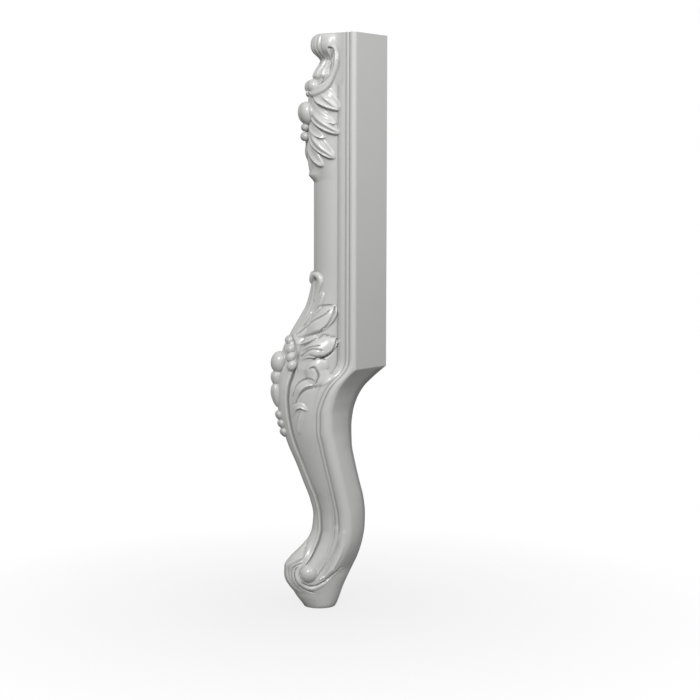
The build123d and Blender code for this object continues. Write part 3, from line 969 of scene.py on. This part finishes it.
# %% [markdown]
# ## The scroll toe
# The leg rolls up into a toe with a ball on each side. Cut lines curl round the ball, a lip
# with a cut beside it runs under the ball to the back, two fine ridges come down the soft
# corner, and a small leaf lies on top. Rings turned round the ball would look machined.
# Lines drawn on the skin keep the look of carving.

# %% Toe carving
# Spine as angles and heights, half width, and depth of a cut or height of a ridge.
TOE_CUTS = [
    ([(42, 75), (39, 71), (28, 66), (18, 61), (15, 53), (17, 46), (21, 37), (27, 29)], 2.7, 2.3),
    ([(37, 64), (27, 59), (22, 51), (24, 42), (30, 32), (39, 26)], 2.7, 2.3),
    ([(39, 64), (33, 56), (32, 48), (38, 38), (48, 31), (64, 26), (80, 24)], 2.4, 2.3),
    ([(24, 92), (34, 82), (40, 75)], 4.0, 1.8),
    ([(6, 90), (9, 78), (11, 66)], 4.0, 1.8),
]
UPPER_RIDGE = [
    (131, 116), (130, 104), (127, 94), (122, 84),
    (114, 72), (104, 62), (93, 54.5), (84, 48),
]
LOWER_RIDGE = [
    (134, 110), (133, 97), (132.5, 86), (129.5, 74),
    (124, 61), (117, 54), (108, 48), (94, 43),
]
TOE_RIDGES = [(UPPER_RIDGE, 2.6, 1.6), (LOWER_RIDGE, 2.4, 1.4)]
# Lip: spine, half width, height, taper. The cut beside it: spine, half width, depth.
LIP_SPINE = [
    (42, 63), (37, 56), (36, 48), (43, 38), (55, 32),
    (71, 29.5), (90, 32), (110, 38.5), (124, 46),
]
LIP = (LIP_SPINE, 2.6, 2.8, 0.9)
LIP_CUT_SPINE = [(47, 39), (56, 35.5), (70, 33.5), (90, 36), (113, 43.5), (126, 51), (138, 59)]
LIP_CUT = (LIP_CUT_SPINE, 1.8, 2.2)
# Leaf on top: spine, half width, height, flutes, crown.
TOE_LEAF = ([(0, 58), (0, 78), (0, 98)], 12.0, 1.2, 1, 0.0)
for ridge_line in TOE_RIDGES:
    carved = over(carved, groove(*ridge_line))
for cut_line in TOE_CUTS:
    carved = carved - groove(*cut_line)
carved = over(carved, rope(*LIP))
carved = carved - groove(*LIP_CUT)
carved = over(carved, leaf(*TOE_LEAF))
print("on the toe:", len(TOE_CUTS), "cuts,", len(TOE_RIDGES), "ridges, a lip and a leaf")

# %% [markdown]
# ## Raising the carving
# The heights push the skin out along its own normal, as a Displace modifier would do with
# a picture. Doing it on the points keeps every edge where it was drawn. The paint is also
# given painted shade in the hollows and painted highlight on the ridges, by how far a point
# lies above or below the mean of its neighbours.

# %% Carved skin
# How far a point stands out or lies in for the full painted highlight or painted shade: on leaves
# and on mouldings.
LEAF_LIFT = 2.2
MOULDING_SINK = 0.9
MOULDING_LIFT = 3.0
skin = np.stack([x, y, z], axis=2)
wide = np.concatenate([skin[:, 1:2] * MIRROR, skin, skin[:, -2:-1] * MIRROR], axis=1)
up = np.gradient(wide, heights, axis=0)
along = np.gradient(wide, axis=1)
normal = np.cross(along, up)[:, 1:-1]
normal /= np.linalg.norm(normal, axis=2)[:, :, None]
skin = skin + carved[:, :, None] * normal
skin[:, :, 2] = np.minimum(skin[:, :, 2], LEG_HEIGHT)
# Points below the mean of their neighbours get painted shade, points above it painted highlight.
lift = np.einsum("ijk,ijk->ij", skin - blurred(skin, 3, 3), normal)
moulding = np.where(lift < 0, MOULDING_SINK, MOULDING_LIFT)
painted_light_share = np.clip(lift / np.where(column < COLUMN_EDGE, LEAF_LIFT, moulding), -1.0, 1.0)
painted_light_share[:, BACK_EDGE:] = 0.0
print("carving reaches", round(float(carved.max()), 1), "mm out of the skin")

# %% [markdown]
# ## The carved leg
# The half is mirrored into a whole skin, and the flat top and the foot pad are closed with
# fans of triangles. Blender's Mirror modifier would leave a seam to merge. Here both halves
# share their points on the front and back lines, so the mesh is closed from the start. Its
# mouldings keep sharp edges, and the back of the lower leg is shaded as a soft round.

# %% Closed skin
FOOT_FORWARD = 38.4
INSIDE_TOP = (0.985, 0.985, 1.0)


def to_frame(points):
    """From the leg's own millimetres into the frame's metres."""
    points = np.asarray(points, float)
    forward = (points[..., 0] - FOOT_FORWARD) * math.sqrt(0.5)
    out = points[..., 1] * math.sqrt(0.5)
    return np.stack([out - forward, -out - forward, points[..., 2]], axis=-1) * MM


rings = np.concatenate([skin, (skin * MIRROR)[:, -2:0:-1]], axis=1)
ring_painted_light = np.concatenate([painted_light_share, painted_light_share[:, -2:0:-1]], axis=1)
# A last ring just inside the top edge, so that the flat top has an even tone, without painted
# shade or highlight.
rings = np.concatenate([rings, rings[-1:] * INSIDE_TOP])
ring_painted_light = np.concatenate([ring_painted_light, 0.0 * ring_painted_light[-1:]])
ring_count, count = rings.shape[:2]
centres = to_frame([(FOOT_FORWARD, 0.0, 0.0), (0.0, 0.0, LEG_HEIGHT)])
points = np.concatenate([to_frame(rings.reshape(-1, 3)), centres])
here = np.arange(count)
beside = (here + 1) % count
start = np.arange(ring_count - 1)[:, None] * count
corners = [start + here, start + beside, start + beside + count, start + here + count]
quads = np.stack(corners, axis=2).reshape(-1, 4)
top_ring = (ring_count - 1) * count
pad = np.stack([beside, here, np.full(count, len(points) - 2)], axis=1)
roof = np.stack([top_ring + here, top_ring + beside, np.full(count, len(points) - 1)], axis=1)
print("closed skin:", len(points), "points")

# %% Carved leg
SHARP_ANGLE = math.radians(42)
SOFT_BACK_TOP = 0.99 * SKIRT_HEIGHT * MM
mesh = bpy.data.meshes.new("carved_leg")
mesh.from_pydata(points.tolist(), [], quads.tolist() + pad.tolist() + roof.tolist())
mesh.materials.append(paint)
# The painted shade and highlight of the carving, stored on the points for the paint.
written = mesh.attributes.new("carved_depth", "FLOAT", "POINT")
written.data.foreach_set("value", np.append(ring_painted_light.ravel(), (0.0, 0.0)).astype(np.float32))
mesh.polygons.foreach_set("use_smooth", np.ones(len(mesh.polygons), bool))
mesh.set_sharp_from_angle(angle=SHARP_ANGLE)
# The back line is sharp on the post only; below the skirt it is a soft round.
ends = np.zeros(2 * len(mesh.edges), np.int32)
mesh.edges.foreach_get("vertices", ends)
soft_end = (ends % count == x.shape[1] - 1) & (points[ends, 2] < SOFT_BACK_TOP)
sharp = np.zeros(len(mesh.edges), bool)
mesh.attributes["sharp_edge"].data.foreach_get("value", sharp)
sharp = sharp & ~soft_end.reshape(-1, 2).all(axis=1)
mesh.attributes["sharp_edge"].data.foreach_set("value", sharp)
mesh.update()
carved_leg = bpy.data.objects.new("carved_leg", mesh)
scene.collection.objects.link(carved_leg)
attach(carved_leg, "root")
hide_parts("leg")
print("carved leg:", 2 * len(quads) + 2 * count, "triangles")

# %% [markdown]
# ## Ball, buds, beads and husks
# The round ornaments repeat one form: a ball that is stretched, tapered or pinched into
# lobes. On the real leg each is carved by hand with a round gouge. They could be copies of
# one ball placed by hand. Here one Geometry Nodes tree shapes a ball and sets a copy on
# every point of a small list of places, so a new bead is a new line in the list.


# %% Boss tree
def boss_tree():
    """Tree that sets a shaped ball on each point, by its size and turn."""
    group = bpy.data.node_groups.new("bosses", "GeometryNodeTree")
    group.interface.new_socket("Geometry", in_out="INPUT", socket_type="NodeSocketGeometry")
    group.interface.new_socket("Geometry", in_out="OUTPUT", socket_type="NodeSocketGeometry")
    for name, kind in (
        ("Segments", "NodeSocketInt"),
        ("Rings", "NodeSocketInt"),
        ("Taper", "NodeSocketFloat"),
        ("Lobes", "NodeSocketFloat"),
        ("Lobe Depth", "NodeSocketFloat"),
        ("Material", "NodeSocketMaterial"),
    ):
        group.interface.new_socket(name, in_out="INPUT", socket_type=kind)
    tree = Tint(group)

    def given(name):
        return tree.add("NodeGroupInput", out=name)

    ball = tree.add(
        "GeometryNodeMeshUVSphere",
        None,
        {"Segments": given("Segments"), "Rings": given("Rings"), "Radius": 1.0},
    )
    place = tree.add("GeometryNodeInputPosition")
    ahead, out, up = [
        tree.add("ShaderNodeSeparateXYZ", None, {0: place}, out=axis) for axis in "XYZ"
    ]
    turn = tree.math("ARCTAN2", out, ahead)
    wave = tree.math("COSINE", turn * given("Lobes"), 0.0)
    swell = (1.0 + given("Lobe Depth") * wave) * (1.0 + given("Taper") * up)
    sides = {"X": ahead * swell, "Y": out * swell, "Z": up}
    moved = tree.add("ShaderNodeCombineXYZ", None, sides)
    shaped = tree.add("GeometryNodeSetPosition", None, {"Geometry": ball, "Position": moved})
    smooth = tree.add("GeometryNodeSetShadeSmooth", None, {"Geometry": shaped})
    size, turned = [
        tree.add("GeometryNodeInputNamedAttribute", {"data_type": "FLOAT_VECTOR"}, {"Name": name})
        for name in ("size", "turn")
    ]
    placed = tree.add(
        "GeometryNodeInstanceOnPoints",
        None,
        {"Points": given("Geometry"), "Instance": smooth, "Rotation": turned, "Scale": size},
    )
    real = tree.add("GeometryNodeRealizeInstances", None, {"Geometry": placed})
    painted = tree.add(
        "GeometryNodeSetMaterial", None, {"Geometry": real, "Material": given("Material")}
    )
    tree.add("NodeGroupOutput", None, {"Geometry": painted})
    return group


bosses = boss_tree()
print("boss tree:", len(bosses.nodes), "nodes")

# %% [markdown]
# ## From places to bosses
# A boss tree needs points to grow on. A mesh of bare points carries the size and the turn
# of each boss as attributes, the tree reads them there, and the result is kept as a plain
# mesh. A modifier left on the piece would be worked out again each time the scene opens.

# %% Growing bosses
FACING = math.radians(225)


def grow(name, group, rows, settings):
    """Mesh with a boss for each row: place, size and lean, in the leg's own millimetres."""
    spots = bpy.data.meshes.new(name)
    spots.from_pydata(to_frame([place for place, size, lean in rows]).tolist(), [], [])
    sizes = [np.array(size) * MM for place, size, lean in rows]
    turns = [(0.0, math.radians(lean), FACING) for place, size, lean in rows]
    for label, numbers in (("size", sizes), ("turn", turns)):
        written = spots.attributes.new(label, "FLOAT_VECTOR", "POINT")
        written.data.foreach_set("vector", np.asarray(numbers, np.float32).ravel())
    piece = bpy.data.objects.new(name, spots)
    scene.collection.objects.link(piece)
    growth = piece.modifiers.new("growth", "NODES")
    growth.node_group = group
    for socket in group.interface.items_tree:
        if socket.name in settings:
            growth[socket.identifier] = settings[socket.name]
    grown = piece.evaluated_get(bpy.context.evaluated_depsgraph_get())
    mesh = bpy.data.meshes.new_from_object(grown)
    piece.modifiers.remove(growth)
    piece.data = mesh
    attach(piece, "root")
    print(name + ":", len(rows), "of", len(mesh.polygons) // len(rows), "faces")


print("bosses face", round(math.degrees(FACING)), "degrees round")

# %% [markdown]
# ## Ball, buds and beads
# Under the scroll sit two balls, a bud of two lobes with a small lobe on each side, and two
# pairs of beads. An oval cabochon sits on the knee with a string of beads on each side, and
# a ball fills each side of the toe. A mirror could make the far side. Here what lies off the
# centre line is written once and set on both sides, and the string of beads finds its own
# place on the skin, so only its angles and heights are given.

# %% Round bosses
PLAIN_BOSS = {"Segments": 40, "Rings": 20, "Material": paint}
# Place (forward, out, height), half sizes (forward, out, up) and lean back in degrees.
CABOCHON = ((95.4, 0.0, SKIRT_HEIGHT + 7.6), (12.2, 12.5, 15.5), -8.0)
PAIRS = [
    ((48.2, 11.0, LEG_HEIGHT - 71.2), (9.7, 10.0, 9.9), 0.0),
    ((58.6, 4.0, LEG_HEIGHT - 127.0), (5.6, 7.5, 5.6), 0.0),
    ((58.8, 4.0, LEG_HEIGHT - 139.5), (6.2, 7.5, 6.4), 0.0),
    ((56.6, 8.0, LEG_HEIGHT - 107.5), (11.2, 12.5, 15.6), 10.0),
    ((52.6, 17.5, LEG_HEIGHT - 106.5), (5.2, 5.5, 8.5), 8.0),
    ((57.8, 22.2, 50.4), (12.6, 12.6, 13.2), 0.0),
]
# String of beads: angle, height over the skirt, half size; all stretched and leaning.
STRING = [(9, 38.5, 4.8), (18, 27, 5.6), (23, 16, 6.0), (26, 4.5, 6.6)]
STRING_STRETCH = 1.25
STRING_LEAN = -30.0
round_rows = [CABOCHON]
for (forward, out, height), size, lean in PAIRS:
    for side in (1.0, -1.0):
        round_rows.append(((forward, out * side, height), size, lean))
for turn_out, rise, half_size in STRING:
    height = SKIRT_HEIGHT + rise
    spot = nearest_point(turn_out, height)
    size = (half_size, half_size, STRING_STRETCH * half_size)
    for side in (-1.0, 1.0):
        round_rows.append(((x.flat[spot], y.flat[spot] * side, height), size, STRING_LEAN))
grow("round_bosses", bosses, round_rows, PLAIN_BOSS)

# %% [markdown]
# ## Husks
# Below the cabochon a row of five husks runs down the band and gets smaller. A husk is a
# bellflower seen from the front: a ball that is wider above and slightly lobed. It could
# have a tree of its own. The same tree makes it too, with its taper and lobes turned on.

# %% Husks
# Forward, height over the skirt, half thickness, half length, lean.
HUSKS = [
    (98.4, -15.0, 8.8, 12.0, -2.0),
    (98.4, -38.0, 8.6, 18.0, 4.0),
    (94.8, -67.0, 6.2, 7.6, 10.0),
    (91.6, -79.0, 6.2, 7.4, 14.0),
    (88.2, -91.0, 6.2, 7.4, 16.0),
]
HUSK_HALF_WIDTH = 8.5
HUSK_FORM = {"Taper": 0.25, "Lobes": 6.0, "Lobe Depth": 0.05}
husk_rows = []
for forward, rise, thick, half_length, lean in HUSKS:
    size = (thick, HUSK_HALF_WIDTH, half_length)
    husk_rows.append(((forward, 0.0, SKIRT_HEIGHT + rise), size, lean))
grow("husks", bosses, husk_rows, {**PLAIN_BOSS, **HUSK_FORM})

# %% [markdown]
# ## The floor
# The leg stands on a pale studio floor. A white floor under strong light would also throw
# white light on the leg. So the floor is matt and grey to the light, which keeps the soft
# shadow, and shows more and more white to the camera away from the leg.

# %% Floor
FLOOR_HALF = 8.0
FLOOR_GREY = (0.22, 0.22, 0.22, 1.0)
WHITE = (1.0, 1.0, 1.0, 1.0)
WHITE_SHARES = {"From Max": 0.6, "To Min": 0.82, "To Max": 1.0}
floor_mesh = bpy.data.meshes.new("floor")
floor_corners = [
    (-FLOOR_HALF, -FLOOR_HALF, 0.0),
    (FLOOR_HALF, -FLOOR_HALF, 0.0),
    (FLOOR_HALF, FLOOR_HALF, 0.0),
    (-FLOOR_HALF, FLOOR_HALF, 0.0),
]
floor_mesh.from_pydata(floor_corners, [], [(0, 1, 2, 3)])
floor = bpy.data.objects.new("floor", floor_mesh)
scene.collection.objects.link(floor)
pale = bpy.data.materials.new("pale_floor")
tree = new_tree(pale)
seen = tree.add("ShaderNodeLightPath", out="Is Camera Ray")
spot = tree.add("ShaderNodeTexCoord", out="Object")
away = tree.add("ShaderNodeVectorMath", {"operation": "LENGTH"}, {0: spot}, out="Value")
fade = tree.add("ShaderNodeMapRange", None, {"Value": away, **WHITE_SHARES})
matt = tree.add("ShaderNodeBsdfDiffuse", None, {"Color": FLOOR_GREY})
white = tree.add("ShaderNodeEmission", None, {"Color": WHITE, "Strength": 1.0})
shown = tree.add("ShaderNodeMixShader", None, {0: seen * fade, 1: matt, 2: white})
tree.add("ShaderNodeOutputMaterial", None, {"Surface": shown})
floor_mesh.materials.append(pale)
print("floor:", 2 * FLOOR_HALF, "m square")

# %% [markdown]
# ## The white surroundings
# A studio has white walls all round, which give soft light from every side. The camera sees
# them at full white. The leg gets only a part of that light, so that the paint keeps its
# tone and the lamps can shape the carving.

# %% World
AMBIENT = 0.50
world = bpy.data.worlds.new("studio")
scene.world = world
sky = new_tree(world)
seen = sky.add("ShaderNodeLightPath", out="Is Camera Ray")
strength = seen * (1.0 - AMBIENT) + AMBIENT
glow = sky.add("ShaderNodeBackground", None, {"Color": WHITE, "Strength": strength})
sky.add("ShaderNodeOutputWorld", None, {"Surface": glow})
print("surroundings light the leg at", AMBIENT)

# %% [markdown]
# ## The lamps
# Two square soft lamps light the leg: a key lamp high and a little to the left of the
# camera, which draws the carving, and a weak fill lamp on the right, which adds small bright
# spots to the satin paint. A sun lamp would give hard shadows that the photograph doesn't
# have.

# %% Lamps
LAMP_AIM = Vector((0.0, 0.0, 0.45))


def lamp(name, turn, rise, distance, size, watts):
    """Square soft lamp that looks at the middle of the leg."""
    turn, rise = math.radians(turn), math.radians(rise)
    level = math.cos(rise)
    back = Vector((math.sin(turn) * level, -math.cos(turn) * level, math.sin(rise)))
    light = bpy.data.lights.new(name, "AREA")
    light.size = size
    light.energy = watts
    holder = bpy.data.objects.new(name, light)
    scene.collection.objects.link(holder)
    holder.location = LAMP_AIM + back * distance
    holder.rotation_mode = "QUATERNION"
    holder.rotation_quaternion = (-back).to_track_quat("-Z", "Y")
    print(name, "lamp:", watts, "W from", distance, "m")


lamp("key", turn=24.0, rise=34.0, distance=2.6, size=0.5, watts=43.0)
lamp("fill", turn=78.0, rise=38.0, distance=1.5, size=0.8, watts=8.0)
